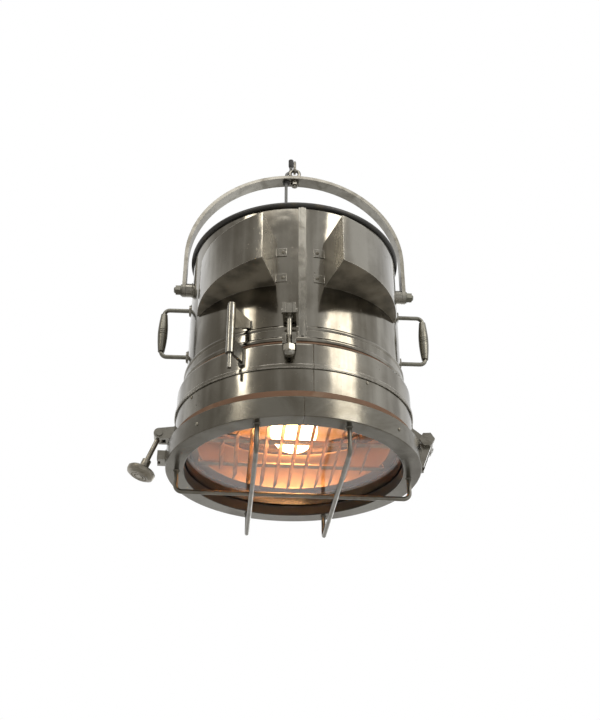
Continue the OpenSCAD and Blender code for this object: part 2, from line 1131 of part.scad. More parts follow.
module door_fork() {
    color("silver")
        hung()
            around(door_clamp_az)
                difference() {
                    translate([bezel_r - 3, -16, fork_z])
                        cube([swing_x + 0.5 - bezel_r + 3, 32, fork_h]);
                    translate([swing_x - swing_r - 0.8, -swing_r - 0.8, 0])
                        cube([40, 2 * swing_r + 1.6, 60]);
                    core(bezel_r + seat);
                }
}

module glass_seal() {
    color("black")
        hung()
            rotate_extrude($fn = 128)
                translate([aperture_r + 1, seat_z])
                    square([11, seal_t]);
}

module glass() {
    color([0.85, 0.9, 0.9, 0.35])
        hung()
            translate([0, 0, glass_z])
                cylinder(r = dam_r - 1, h = glass_t, $fn = 128);
}

module glass_retainer() {
    color("gray")
        hung()
            rotate_extrude($fn = 128)
                polygon([[aperture_r - 2, retain_z], [dam_r + 3.4, retain_z], [dam_r + 3.4, retain_z + 3],
                    [aperture_r + 0.5, retain_z + 3], [aperture_r - 6.5, retain_z + retain_h],
                    [aperture_r - 8.5, retain_z + retain_h]]);
}

// One guard rod along Y: two legs, two bends and a straight, its axis drop below the face
module guard_bar(half, drop) {
    r = guard_rod / 2;
    bend = 13;
    translate([0, 0, -drop])
        rotate([90, 0, 0])
            cylinder(r = r, h = 2 * (half - bend), center = true);
    for (s = [0, 180])
        rotate([0, 0, s]) {
            translate([0, half, bend - drop])
                cylinder(r = r, h = drop - bend);
            translate([0, half - bend, bend - drop])
                rotate([90, 0, 90])
                    rotate_extrude(angle = -90)
                        translate([bend, 0])
                            circle(r = r);
        }
}

module guard() {
    mid_r = (aperture_r + bezel_r) / 2 - 4;
    reach = sqrt(mid_r * mid_r - guard_half * guard_half);
    color("gray")
        hung()
            rotate([0, 0, guard_turn]) {
                for (s = [-1, 1])
                    translate([s * guard_half, 0, 0])
                        guard_bar(reach, guard_drop);
                rotate([0, 0, 90])
                    guard_bar(mid_r, guard_drop - 5);
            }
}

module louvre() {
    color("silver")
        hung()
            rotate([0, 0, guard_turn]) {
                for (k = [-5:5])
                    translate([k * louvre_pitch, 0, louvre_z + (louvre_h + bar_t) / 2 - seat])
                        rotate([0, louvre_lean, 0])
                            cube([vane_t, 2 * sqrt(louvre_r * louvre_r - pow(k * louvre_pitch, 2)), vane_h],
                                center = true);
                for (s = [-1, 1]) {
                    translate([-louvre_half, s * bar_off - bar_w / 2, louvre_z + louvre_h - seat])
                        cube([2 * louvre_half, bar_w, bar_t]);
                    for (t = [-1, 1])
                        translate([t * (louvre_half - bar_t / 2) - bar_t / 2, s * bar_off - bar_w / 2,
                            louvre_z + louvre_h])
                            cube([bar_t, bar_w, collar_low - louvre_z - louvre_h]);
                }
            }
}

module reflector() {
    color("white")
        hung() {
            rotate_extrude($fn = 128)
                intersection() {
                    translate([0, dish_cz])
                        difference() {
                            circle(r = dish_r, $fn = 256);
                            circle(r = dish_r - 1.5, $fn = 256);
                        }
                    translate([8, dish_open_z])
                        square([300, 300]);
                }
            rotate_extrude($fn = 128)
                translate([dish_rim_r - 2, dish_open_z - 1.5])
                    square([drum_in - 6 - dish_rim_r + 2, 2]);
        }
}

module bulb() {
    color("lightyellow")
        hung() {
            difference() {
                union() {
                    translate([0, 0, bulb_z])
                        sphere(r = bulb_r);
                    translate([0, 0, bulb_z])
                        cylinder(r = neck_r, h = cap_z - bulb_z);
                }
                translate([0, 0, bulb_z])
                    sphere(r = bulb_r - 1.5);
                translate([0, 0, bulb_z])
                    cylinder(r = neck_r - 1.5, h = 100);
            }
            translate([0, 0, cap_z])
                cylinder(r = neck_r + 0.5, h = 26);
        }
}

module lamp_socket() {
    color("ivory")
        hung() {
            difference() {
                union() {
                    translate([0, 0, cap_z - 2])
                        cylinder(r = socket_r, h = bracket_z + 24 - cap_z + 2);
                    translate([-drum_in + 1, -20, bracket_z])
                        cube([2 * drum_in - 2, 40, bracket_t]);
                }
                translate([0, 0, cap_z - 10])
                    cylinder(r = neck_r + 0.8, h = 36.3);
            }
            for (s = [-1, 1])
                translate([s * (drum_in - 3.2) - 1.5, -20, bracket_z + bracket_t])
                    cube([3, 40, 26]);
        }
}

hanger_link();
yoke_strap();
eye_bolt();
eye_nut();
cord_grommet();
power_cord();
cord_connector();
drum_shell();
top_cap();
rim_ring();
seam_strip();
drum_ring();
joint_gasket();
collar_shell();
collar_bead();
door_gasket();
left_cowl();
right_cowl();
cowl_screws();
collar_screws();
cable_gland();
pivot_bosses();
pivot_studs();
pivot_washers();
pivot_nuts();
left_handle();
right_handle();
handle_feet();
left_grip();
right_grip();
hinge_drum_half();
hinge_collar_half();
hinge_pin();
clamp_lugs();
clamp_catches();
clamp_pins();
front_clamp_bolt();
right_clamp_bolt();
left_clamp_bolt();
front_clamp_nut();
right_clamp_nut();
left_clamp_nut();
door_hinge_lug();
door_hinge_bolt();
door_clamp_lug();
door_clamp_pin();
door_swing_bolt();
door_knob();
bezel();
bezel_screws();
door_ears();
door_fork();
glass_seal();
glass();
glass_retainer();
guard();
louvre();
reflector();
bulb();
lamp_socket();
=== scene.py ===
"""Looks of a ship's searchlight hung as a pendant lamp, dressed around its CAD frame."""
import json
import math

import bmesh
import bpy
from bpy.props import FloatProperty, FloatVectorProperty, IntProperty, PointerProperty
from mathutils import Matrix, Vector


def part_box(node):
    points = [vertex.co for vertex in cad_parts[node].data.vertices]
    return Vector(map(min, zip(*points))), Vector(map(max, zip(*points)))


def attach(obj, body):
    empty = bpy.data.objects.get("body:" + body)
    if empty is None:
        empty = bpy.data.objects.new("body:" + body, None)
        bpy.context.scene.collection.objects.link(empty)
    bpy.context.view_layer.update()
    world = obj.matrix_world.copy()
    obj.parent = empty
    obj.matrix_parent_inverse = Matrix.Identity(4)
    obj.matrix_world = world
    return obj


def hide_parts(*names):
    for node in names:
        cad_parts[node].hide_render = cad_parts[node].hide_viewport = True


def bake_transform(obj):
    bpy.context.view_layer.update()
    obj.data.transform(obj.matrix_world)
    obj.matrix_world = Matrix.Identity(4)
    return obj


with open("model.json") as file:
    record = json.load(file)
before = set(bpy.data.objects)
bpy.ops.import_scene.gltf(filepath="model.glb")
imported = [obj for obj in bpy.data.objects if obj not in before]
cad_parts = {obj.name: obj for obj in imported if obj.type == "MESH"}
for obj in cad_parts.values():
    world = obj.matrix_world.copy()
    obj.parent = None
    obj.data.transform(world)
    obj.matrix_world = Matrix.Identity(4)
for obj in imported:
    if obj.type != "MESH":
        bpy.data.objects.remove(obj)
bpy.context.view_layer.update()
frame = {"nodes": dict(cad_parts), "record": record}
NODES = frame["nodes"]
BODIES = {node: body for body, group in frame["record"]["behaviour"]["bodies"].items() for node in group}

bl_info = {
    "name": "Hanging ship's searchlight",
    "version": (1, 0, 0),
    "blender": (4, 5, 0),
    "location": "3D View > Sidebar > Searchlight",
    "description": "Dresses the CAD frame of a ship's searchlight with its cord, welds, screws and finishes",
    "category": "Add Mesh",
}

MM = 0.001
# Levels and radii read from the frame: heights count up from the door's face
FACE_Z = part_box("bezel")[0].z
DRUM_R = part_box("drum_shell")[1].x
COLLAR_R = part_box("collar_shell")[1].x
DOOR_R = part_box("bezel")[1].x
GLASS_EDGE_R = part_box("glass_seal")[1].x - 12 * MM
SHEET_T = 2 * MM
# Depth of the slight wave in the sheets
SHEET_WAVE = 4.5 * MM
# The bulb's metal cap begins here
CAP_Z = FACE_Z + 150 * MM
# Round pieces are shaded smooth across edges that turn by less than this
SMOOTH_TURN = math.radians(32)
FLOOR_R = 6
# The collar is painted inside up to just under its top shoulder
LINING_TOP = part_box("collar_shell")[1].z - 3 * MM
# The cord's route in millimetres, from the gland up through the yoke, as the frame has it
CORD_ROUTE = [
    (30, 0, 540), (30, 2, 556), (31, 12, 574), (34, 34, 586), (37, 58, 578), (40, 76, 558),
    (41, 90, 538), (38, 108, 526), (25, 128, 519), (0, 136, 518), (-25, 128, 519),
    (-42, 106, 521), (-46, 80, 528), (-42, 54, 545), (-34, 30, 572), (-26, 12, 606),
    (-21, 3, 645), (-20, 0, 686), (-20, 0, 708), (-20, 0, 730), (-20, 0, 750), (-20, 0, 768),
    (-18, 5, 780), (-13, 12, 790), (-9, 17, 801), (-8, 18, 812),
]
# A direction that the route never follows
CORD_SIDE = Vector((0.6, 0, -0.8))
# Turn of the guard, in degrees
GUARD_TURN = 1.6


def lamp(x, y, z):
    """A point of the lamp in millimetres from the door's face, in the row frame."""
    return Vector((x * MM, y * MM, z * MM + FACE_Z))


def on_drum(azimuth, radius, side, z):
    """A point on a round wall, beside the given angle, at a height in millimetres from the door's face."""
    out, along = out_at(azimuth)
    ahead = math.sqrt(radius ** 2 - (side * MM) ** 2)
    return out * ahead + along * (side * MM) + Vector((0, 0, z * MM + FACE_Z))


def out_at(azimuth):
    """The outward and sideways directions at an angle in degrees from the front seam."""
    a = math.radians(azimuth)
    return Vector((math.sin(a), -math.cos(a), 0)), Vector((math.cos(a), math.sin(a), 0))


class Wire:
    """An output socket of a node tree. Arithmetic on it adds Math nodes to that tree."""

    def __init__(self, socket):
        self.socket = socket

    @staticmethod
    def add(tree, kind, settings=None, inputs=None, out=0):
        """Adds a node, its settings first and then the values or links of its sockets."""
        made = tree.nodes.new(kind)
        for name, value in (settings or {}).items():
            setattr(made, name, value)
        for key, value in (inputs or {}).items():
            if isinstance(value, Wire):
                tree.links.new(value.socket, made.inputs[key])
            else:
                made.inputs[key].default_value = value
        return Wire(made.outputs[out])

    def _math(self, operation, first, second=0.0):
        return Wire.add(self.socket.id_data, "ShaderNodeMath", {"operation": operation}, {0: first, 1: second})

    def __add__(self, other):
        return self._math("ADD", self, other)

    def __radd__(self, other):
        return self._math("ADD", other, self)

    def __sub__(self, other):
        return self._math("SUBTRACT", self, other)

    def __rsub__(self, other):
        return self._math("SUBTRACT", other, self)

    def __mul__(self, other):
        return self._math("MULTIPLY", self, other)

    def __rmul__(self, other):
        return self._math("MULTIPLY", other, self)

    def __truediv__(self, other):
        return self._math("DIVIDE", self, other)

    def of(self, operation, other=0.0):
        """Any other Math operation on this value."""
        return self._math(operation, self, other)


def soft_step(tree, value, low, high):
    """0 below low, 1 above high, smooth between; turned round where low is the greater."""
    return Wire.add(tree, "ShaderNodeMapRange", {"interpolation_type": "SMOOTHSTEP"},
                    {"Value": value, "From Min": min(low, high), "From Max": max(low, high),
                     "To Min": float(low > high), "To Max": float(low < high)})


def blend_colour(tree, share, low, high):
    """A colour between two, by a share from 0 to 1."""
    four = [c if isinstance(c, Wire) else (*c[:3], 1) for c in (low, high)]
    return Wire.add(tree, "ShaderNodeMix", {"data_type": "RGBA"}, {0: share, 6: four[0], 7: four[1]}, out=2)


def cloud(tree, where, scale, detail=4.0, rough=0.55, twist=0.0):
    """Soft noise, from about 0.25 to 0.75."""
    return Wire.add(tree, "ShaderNodeTexNoise", {"noise_dimensions": "3D"},
                    {"Vector": where, "Scale": scale, "Detail": detail, "Roughness": rough, "Distortion": twist})


def stretched(tree, where, scale):
    """Coordinates scaled by a different number along each axis."""
    return Wire.add(tree, "ShaderNodeMapping", {"vector_type": "POINT"}, {"Vector": where, "Scale": scale})


def start(name):
    """A new material: its tree, its shader node and the object coordinates."""
    material = bpy.data.materials.new(name)
    material.use_nodes = True
    tree = material.node_tree
    where = Wire.add(tree, "ShaderNodeTexCoord", out="Object")
    return material, tree, tree.nodes["Principled BSDF"], where


def feed(tree, shader, **links):
    """Links or sets sockets of the shader, named with underscores for spaces."""
    for name, value in links.items():
        socket = shader.inputs[name.replace("_", " ")]
        if isinstance(value, Wire):
            tree.links.new(value.socket, socket)
        else:
            socket.default_value = value


def relief(tree, height, distance, edge):
    """A normal with bumps of that depth in metres, on edges that look rounded by the edge radius."""
    rounded = Wire.add(tree, "ShaderNodeBevel", {"samples": 4}, {"Radius": edge})
    return Wire.add(tree, "ShaderNodeBump", None,
                    {"Strength": 1.0, "Distance": distance, "Height": height, "Normal": rounded})


def edge_wear_and_highlight(tree, radius):
    """1 along the edges of a piece, where its rounded normal leaves its true one."""
    rounded = Wire.add(tree, "ShaderNodeBevel", {"samples": 4}, {"Radius": radius})
    plain = Wire.add(tree, "ShaderNodeNewGeometry", out="Normal")
    along = Wire.add(tree, "ShaderNodeVectorMath", {"operation": "DOT_PRODUCT"}, {0: rounded, 1: plain}, out="Value")
    return soft_step(tree, along, 0.97, 0.80)


def parts(tree, where):
    """The three numbers of a vector."""
    split = Wire.add(tree, "ShaderNodeSeparateXYZ", None, {"Vector": where})
    return split, Wire(split.socket.node.outputs[1]), Wire(split.socket.node.outputs[2])


def seam_line(tree, where, azimuth, radius):
    """1 on a thin upright joint in a sheet ring at that angle from the front."""
    x, y, _ = parts(tree, where)
    out, side = out_at(azimuth)
    across = x * side.x + y * side.y
    ahead = x * out.x + y * out.y
    return soft_step(tree, across.of("ABSOLUTE"), 0.9 * MM, 0.45 * MM) * ahead.of("GREATER_THAN", radius * 0.9)


def within(tree, where, radius):
    """1 on the surfaces that lie inside a radius from the lamp's axis."""
    x, y, _ = parts(tree, where)
    return soft_step(tree, (x * x + y * y).of("SQRT"), radius + 0.3 * MM, radius - 0.3 * MM)


def polished_sheet(name, settings, seam=None, dulled=0.0, lined=None, cowl=False):
    """Polished stainless sheet that has tarnished: stains, upright bands that are tarnish and also painted reflection
    lines, pits, a slight wave, and edges rubbed bare that are also painted as highlights.

    It can have a joint and a lining inside a radius. A cowl has satin ends, and an underside that was never polished.
    """
    material, tree, shader, where = start(name)
    stain = cloud(tree, where, 5.5, 6.0, 0.6, 0.4)
    streak = cloud(tree, stretched(tree, where, (26, 26, 2.2)), 1.0, 4.0, 0.6)
    # Upright bands of tarnish, which also paint long upright reflection lines into the sheet's colour.
    tarnish_and_reflection_bands = cloud(tree, stretched(tree, where, (17, 17, 0.8)), 1.0, 2.0, 0.5)
    smear = cloud(tree, where, 24.0, 6.0, 0.65, 0.8)
    pits = cloud(tree, where, 230.0, 2.0, 0.5)
    lines = cloud(tree, stretched(tree, where, (6, 6, 900)), 1.0, 3.0, 0.6)
    wave = cloud(tree, stretched(tree, where, (9, 9, 6)), 1.0, 1.5, 0.4)
    dents = cloud(tree, where, 27.0, 1.0, 0.4)
    edge = edge_wear_and_highlight(tree, 1.6 * MM) * soft_step(tree, smear, 0.3, 0.55)
    # The tarnish share: stains, streaks and the upright bands, whose dark lines are partly painted reflection.
    old = soft_step(tree, stain * 0.35 + streak * 0.25 + tarnish_and_reflection_bands * 0.4, 0.40, 0.60)
    pit = soft_step(tree, pits, 0.66, 0.74) * soft_step(tree, smear, 0.45, 0.6)
    colour = blend_colour(tree, old * 0.75 + smear * 0.2, settings.polished, settings.tarnish)
    colour = blend_colour(tree, pit * 0.7, colour, settings.grime_and_shade)
    # Edges take the pale bare colour: rubbed-bare wear, and also a painted highlight along them.
    colour = blend_colour(tree, edge, colour, settings.bare)
    rough = 0.02 + dulled + smear * 0.12 + old * 0.08 + pit * 0.3 + edge * 0.2
    height = wave + dents * 0.12 + lines * 0.003 - pit * 0.015
    if seam:
        cut = seam_line(tree, where, *seam)
        colour = blend_colour(tree, cut * 0.92, colour, settings.grime_and_shade)
        rough = rough + cut * 0.4
        height = height - cut * 0.12
    metal = 1.0 - edge * 0.5
    if lined:
        low = soft_step(tree, parts(tree, where)[2], LINING_TOP, LINING_TOP - MM)
        inner = within(tree, where, lined) * low
        colour = blend_colour(tree, inner, colour, settings.lining)
        rough = rough + inner * 0.2
    if cowl:
        x, y, _ = parts(tree, where)
        aside, ahead, facing = parts(tree, Wire.add(tree, "ShaderNodeTexCoord", out="Normal"))
        across = (x * aside + y * ahead) / (x * x + y * y).of("SQRT")
        ends = soft_step(tree, across.of("ABSOLUTE"), 0.85, 0.70) * soft_step(tree, facing.of("ABSOLUTE"), 0.6, 0.3)
        colour = blend_colour(tree, ends * 0.4, colour, settings.bare)
        rough = rough + ends * 0.16
        below = soft_step(tree, facing, -0.6, -0.9) * (1.0 - edge)
        colour = blend_colour(tree, below, colour, blend_colour(tree, old, settings.dull, settings.tarnish))
        rough = rough + below * 0.3
        metal = metal - below * 0.7
    feed(tree, shader, Base_Color=colour, Metallic=metal, Roughness=rough,
         Normal=relief(tree, height, SHEET_WAVE, 1.0 * MM))
    return material


def worn_steel(name, settings, tone, base_rough, edge=0.8 * MM):
    """Cast and turned steel fittings with a worn satin skin, darker in the corners by occlusion: grime together with
    painted shade.
    """
    material, tree, shader, where = start(name)
    stain = cloud(tree, where, 28.0, 6.0, 0.65, 0.6)
    swell = cloud(tree, where, 28.0, 1.0, 0.4)
    grain = cloud(tree, where, 420.0, 3.0, 0.6)
    scratch = cloud(tree, stretched(tree, where, (900, 60, 60)), 1.0, 2.0, 0.5)
    # Occlusion finds the corners, which are painted dark in patches: grime, and also the shade that falls there.
    occlusion = Wire.add(tree, "ShaderNodeAmbientOcclusion", {"samples": 6, "only_local": False},
                      {"Distance": 7 * MM}, out="AO")
    corner_grime_and_shade = soft_step(tree, occlusion, 0.6, 0.15) * soft_step(tree, stain, 0.3, 0.6)
    old = soft_step(tree, stain, 0.4, 0.7)
    colour = blend_colour(tree, old * 0.6, tone, settings.tarnish)
    colour = blend_colour(tree, corner_grime_and_shade * 0.75, colour, settings.grime_and_shade)
    rough = base_rough + stain * 0.16 + grain * 0.08 + corner_grime_and_shade * 0.25
    height = swell * 4.0 + grain * 0.06 + scratch * 0.04
    feed(tree, shader, Base_Color=colour, Metallic=1.0, Roughness=rough,
         Normal=relief(tree, height, 0.045 * MM, edge))
    return material


def turned_ring(name, settings, seam=None, wall=None):
    """Satin steel ring with the fine circles of a lathe on its face, and an inner wall, inside the radius given,
    painted dark as shade.
    """
    material, tree, shader, where = start(name)
    x, y, z = parts(tree, where)
    radius = (x * x + y * y).of("SQRT")
    rings = Wire.add(tree, "ShaderNodeCombineXYZ", None, {0: radius * 1500.0, 1: z * 1500.0, 2: 0.0})
    lines = cloud(tree, rings, 1.0, 3.0, 0.7)
    stain = cloud(tree, where, 9.0, 6.0, 0.62, 0.7)
    smear = cloud(tree, where, 45.0, 5.0, 0.6, 0.5)
    old = soft_step(tree, stain, 0.38, 0.68)
    colour = blend_colour(tree, old * 0.7 + lines * 0.2, settings.satin, settings.tarnish)
    rough = 0.1 + lines * 0.1 + smear * 0.14
    height = lines * 0.5 + smear * 0.5
    if seam:
        cut = seam_line(tree, where, *seam)
        colour = blend_colour(tree, cut * 0.92, colour, settings.grime_and_shade)
        height = height - cut * 3.0
    metal = 1.0
    # The inner wall is painted near black as the shade that falls in it, and is made rough and not metal.
    if wall:
        inner = within(tree, where, wall)
        colour = blend_colour(tree, inner, colour, settings.grime_and_shade)
        rough = rough + inner * 0.3
        metal = 1.0 - inner
    feed(tree, shader, Base_Color=colour, Metallic=metal, Roughness=rough,
         Normal=relief(tree, height, 0.1 * MM, 1.0 * MM))
    return material


def aged_rubber(name, colour, pale, base_rough):
    """Rubber or cork-like gasket with bleached and stained patches."""
    material, tree, shader, where = start(name)
    patch = cloud(tree, where, 16.0, 6.0, 0.6, 0.5)
    grain = cloud(tree, where, 700.0, 2.0, 0.6)
    tone = blend_colour(tree, soft_step(tree, patch, 0.42, 0.68), colour, pale)
    feed(tree, shader, Base_Color=tone, Roughness=base_rough + grain * 0.2,
         Normal=relief(tree, grain + patch * 2.0, 0.15 * MM, 0.6 * MM))
    return material


def dark_roll(name, settings):
    """The blackened roll round the drum's top edge, rubbed bare in places."""
    material, tree, shader, where = start(name)
    patch = cloud(tree, where, 30.0, 6.0, 0.65, 0.5)
    bare = soft_step(tree, patch, 0.52, 0.66)
    colour = blend_colour(tree, bare * 0.6, settings.blackened, settings.tarnish)
    feed(tree, shader, Base_Color=colour, Metallic=0.35 + bare * 0.6, Roughness=0.3 + patch * 0.25,
         Normal=relief(tree, patch, 0.3 * MM, 0.6 * MM))
    return material


def clear_pane(name, settings):
    """Clear plate glass with a trace of dust."""
    material, tree, shader, where = start(name)
    dust = cloud(tree, where, 60.0, 6.0, 0.7)
    feed(tree, shader, Base_Color=(*settings.glass, 1), Roughness=0.02 + soft_step(tree, dust, 0.5, 0.8) * 0.08,
         Transmission_Weight=1.0, IOR=1.45)
    return material


def dish_metal(name, settings):
    """The reflector: satin spun metal, with faint spinning rings, warmed by age."""
    material, tree, shader, where = start(name)
    x, y, z = parts(tree, where)
    radius = (x * x + y * y).of("SQRT")
    rings = Wire.add(tree, "ShaderNodeCombineXYZ", None, {0: radius * 400.0, 1: z * 20.0, 2: 0.0})
    lines = cloud(tree, rings, 1.0, 3.0, 0.6)
    stain = cloud(tree, where, 14.0, 6.0, 0.6, 0.4)
    colour = blend_colour(tree, soft_step(tree, stain, 0.4, 0.7), settings.dish, settings.dish_old)
    feed(tree, shader, Base_Color=colour, Metallic=1.0, Roughness=0.2 + stain * 0.2 + lines * 0.08,
         Normal=relief(tree, lines * 0.3 + stain, 0.5 * MM, 0.5 * MM))
    return material


def lit_bulb(name, settings, strength):
    """A lit bulb: a glowing envelope, with its metal cap above."""
    material, tree, shader, where = start(name)
    _, _, z = parts(tree, where)
    cap = soft_step(tree, z, CAP_Z - MM, CAP_Z + MM)
    grain = cloud(tree, where, 90.0, 4.0, 0.6)
    glow = blend_colour(tree, cap, settings.glow, (0, 0, 0))
    tone = blend_colour(tree, cap, settings.glow, settings.brass)
    feed(tree, shader, Base_Color=tone, Metallic=cap, Roughness=0.2 + grain * 0.2,
         Emission_Color=glow, Emission_Strength=strength)
    return material


def glazed(name, settings):
    """Glazed ceramic with fine crazing."""
    material, tree, shader, where = start(name)
    patch = cloud(tree, where, 40.0, 5.0, 0.6)
    craze = Wire.add(tree, "ShaderNodeTexVoronoi", {"feature": "DISTANCE_TO_EDGE"},
                     {"Vector": where, "Scale": 160.0})
    crack = soft_step(tree, craze, 0.03, 0.0)
    colour = blend_colour(tree, crack * 0.4 + patch * 0.3, settings.ceramic, settings.tarnish)
    feed(tree, shader, Base_Color=colour, Roughness=0.15 + patch * 0.2,
         Normal=relief(tree, crack * -0.5 + patch, 0.2 * MM, 0.8 * MM))
    return material


def braided(name, settings):
    """Woven sleeve of the cord, with two sets of strands crossing round it."""
    material, tree, shader, where = start(name)
    uv = Wire.add(tree, "ShaderNodeTexCoord", out="UV")
    round_it, along, _ = parts(tree, uv)
    turn = 2 * math.pi
    one = (round_it * (8 * turn) + along * (900 * turn)).of("SINE")
    two = (round_it * (8 * turn) - along * (900 * turn)).of("SINE")
    strand = (one.of("MAXIMUM", two) + 1.0) * 0.5
    fuzz = cloud(tree, where, 900.0, 2.0, 0.6)
    colour = blend_colour(tree, strand * 0.7 + fuzz * 0.3, settings.cord_dark, settings.cord_light)
    feed(tree, shader, Base_Color=colour, Roughness=0.75 + fuzz * 0.15,
         Normal=relief(tree, strand + fuzz * 0.4, 0.35 * MM, 0.2 * MM))
    return material


def dress(material, *names):
    """Gives CAD nodes a material."""
    for name in names:
        mesh = NODES[name].data
        mesh.materials.clear()
        mesh.materials.append(material)


def new_piece(name, mesh, material=None):
    """A piece's object at the origin, with its place in its mesh."""
    obj = bpy.data.objects.new(name, mesh)
    bpy.context.scene.collection.objects.link(obj)
    if material:
        mesh.materials.append(material)
    return obj


def smoothed(node, material):
    """A smooth copy of a round CAD piece that takes its place on its body."""
    made = bmesh.new()
    made.from_mesh(NODES[node].data)
    bmesh.ops.remove_doubles(made, verts=made.verts, dist=0.01 * MM)
    for face in made.faces:
        face.smooth = True
    for edge in made.edges:
        edge.smooth = edge.calc_face_angle(math.pi) < SMOOTH_TURN
    mesh = bpy.data.meshes.new("smooth_" + node)
    made.to_mesh(mesh)
    made.free()
    piece = new_piece("smooth_" + node, mesh, material)
    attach(piece, BODIES[node])
    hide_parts(node)


def new_tree(name, inputs):
    """A geometry node tree with named inputs, and the wires of those inputs."""
    tree = bpy.data.node_groups.new(name, "GeometryNodeTree")
    for label, kind in (("Geometry", "Geometry"), *inputs, ("Seed", "Int"), ("Material", "Material")):
        tree.interface.new_socket(label, in_out="INPUT", socket_type="NodeSocket" + kind)
    tree.interface.new_socket("Geometry", in_out="OUTPUT", socket_type="NodeSocketGeometry")
    entry = tree.nodes.new("NodeGroupInput")
    return tree, {socket.name: Wire(socket) for socket in entry.outputs if socket.name}


def end_tree(tree, spots, shape, given, turn, scale):
    """Puts the shape at every spot, and makes one painted mesh of all of them."""
    copies = Wire.add(tree, "GeometryNodeInstanceOnPoints", None,
                      {"Points": spots, "Instance": shape, "Rotation": turn, "Scale": scale})
    solid = Wire.add(tree, "GeometryNodeRealizeInstances", None, {"Geometry": copies})
    painted = Wire.add(tree, "GeometryNodeSetMaterial", None, {"Geometry": solid, "Material": given["Material"]})
    end = tree.nodes.new("NodeGroupOutput")
    tree.links.new(painted.socket, end.inputs[0])


def chance(tree, low, high, seed):
    """A random number for each spot."""
    return Wire.add(tree, "FunctionNodeRandomValue", {"data_type": "FLOAT"}, {2: low, 3: high, "Seed": seed}, out=1)


def vector(tree, x, y, z):
    """Three numbers as one vector."""
    return Wire.add(tree, "ShaderNodeCombineXYZ", None, {0: x, 1: y, 2: z})


def weld_tree():
    """Overlapping ripples of a weld along every path."""
    tree, given = new_tree("weld_beads", (("Bead radius", "Float"), ("Pitch", "Float")))
    run = Wire.add(tree, "GeometryNodeMeshToCurve", None, {"Mesh": given["Geometry"]})
    run = Wire.add(tree, "GeometryNodeResampleCurve", {"mode": "LENGTH"}, {"Curve": run, "Length": given["Pitch"]})
    bead = Wire.add(tree, "GeometryNodeMeshIcoSphere", None, {"Radius": given["Bead radius"], "Subdivisions": 2})
    bead = Wire.add(tree, "GeometryNodeSetShadeSmooth", None, {"Geometry": bead})
    heading = Wire.add(tree, "GeometryNodeInputTangent")
    turn = Wire.add(tree, "FunctionNodeAlignRotationToVector", {"axis": "X"}, {"Vector": heading})
    swell = chance(tree, 0.85, 1.15, given["Seed"])
    end_tree(tree, run, bead, given, turn, vector(tree, 0.8, swell, swell))
    return tree


def screw_tree():
    """Round slotted screw heads that face along each point's own outward direction."""
    tree, given = new_tree("slotted_heads", (("Head radius", "Float"), ("Head height", "Float"),
                                             ("Slot width", "Float")))
    wide, tall, slot = given["Head radius"], given["Head height"], given["Slot width"]
    dome = Wire.add(tree, "GeometryNodeMeshUVSphere", None, {"Segments": 28, "Rings": 14, "Radius": 1.0})
    dome = Wire.add(tree, "GeometryNodeTransform", None, {"Geometry": dome, "Scale": vector(tree, wide, wide, tall)})
    bar = Wire.add(tree, "GeometryNodeMeshCube", None, {"Size": vector(tree, wide * 3.0, slot, tall)})
    bar = Wire.add(tree, "GeometryNodeTransform", None,
                   {"Geometry": bar, "Translation": vector(tree, 0.0, 0.0, tall)})
    head = Wire.add(tree, "GeometryNodeMeshBoolean", {"operation": "DIFFERENCE"}, {"Mesh 1": dome, "Mesh 2": bar})
    facing = Wire.add(tree, "GeometryNodeInputNamedAttribute", {"data_type": "FLOAT_VECTOR"}, {"Name": "outward"})
    turn = Wire.add(tree, "FunctionNodeAlignRotationToVector", {"axis": "Z"}, {"Vector": facing})
    spin = Wire.add(tree, "FunctionNodeAxisAngleToRotation", None,
                    {"Axis": (0, 0, 1), "Angle": chance(tree, 0.0, math.pi, given["Seed"])})
    turn = Wire.add(tree, "FunctionNodeRotateRotation", {"rotation_space": "LOCAL"},
                    {"Rotation": turn, "Rotate By": spin})
    end_tree(tree, given["Geometry"], head, given, turn, (1, 1, 1))
    return tree


def grown(name, tree, mesh, values):
    """Runs a geometry node tree on a mesh of points or paths, and keeps the plain mesh that it makes."""
    source = new_piece(name + "_source", mesh)
    step = source.modifiers.new("grow", "NODES")
    step.node_group = tree
    sockets = {item.name: item.identifier for item in tree.interface.items_tree if item.in_out == "INPUT"}
    for label, value in values.items():
        step[sockets[label]] = value
    ready = source.evaluated_get(bpy.context.evaluated_depsgraph_get())
    made = bpy.data.meshes.new_from_object(ready)
    source.modifiers.clear()
    bpy.data.objects.remove(source)
    if not made.polygons:
        raise RuntimeError(name + " came out empty")
    made.name = name
    return new_piece(name, made)


def paths_mesh(name, paths):
    """A mesh of edges along paths; a path whose ends meet is closed."""
    made = bmesh.new()
    for points, closed in paths:
        spots = [made.verts.new(q) for q in points]
        for a, b in zip(spots, spots[1:] + spots[:1] if closed else spots[1:]):
            made.edges.new((a, b))
    mesh = bpy.data.meshes.new(name)
    made.to_mesh(mesh)
    made.free()
    return mesh


def points_mesh(name, places):
    """A mesh of points on round walls, given as angle, radius and height, that know which way is outward."""
    mesh = bpy.data.meshes.new(name)
    mesh.from_pydata([on_drum(azimuth, radius, 0, z) for azimuth, radius, z in places], [], [])
    facing = mesh.attributes.new("outward", "FLOAT_VECTOR", "POINT")
    facing.data.foreach_set("vector", [c for azimuth, _, _ in places for c in out_at(azimuth)[0]])
    return mesh


def patch(azimuth, radius, half, low, high):
    """A closed path round a rectangle on a round wall."""
    corners = ((-half, low), (half, low), (half, high), (-half, high))
    return [on_drum(azimuth, radius, side, z) for side, z in corners], True


def ring_on(azimuth, radius, size, z, count=24):
    """A closed path round a circle on a round wall."""
    turns = [2 * math.pi * k / count for k in range(count)]
    return [on_drum(azimuth, radius, size * math.cos(t), z + size * math.sin(t)) for t in turns], True


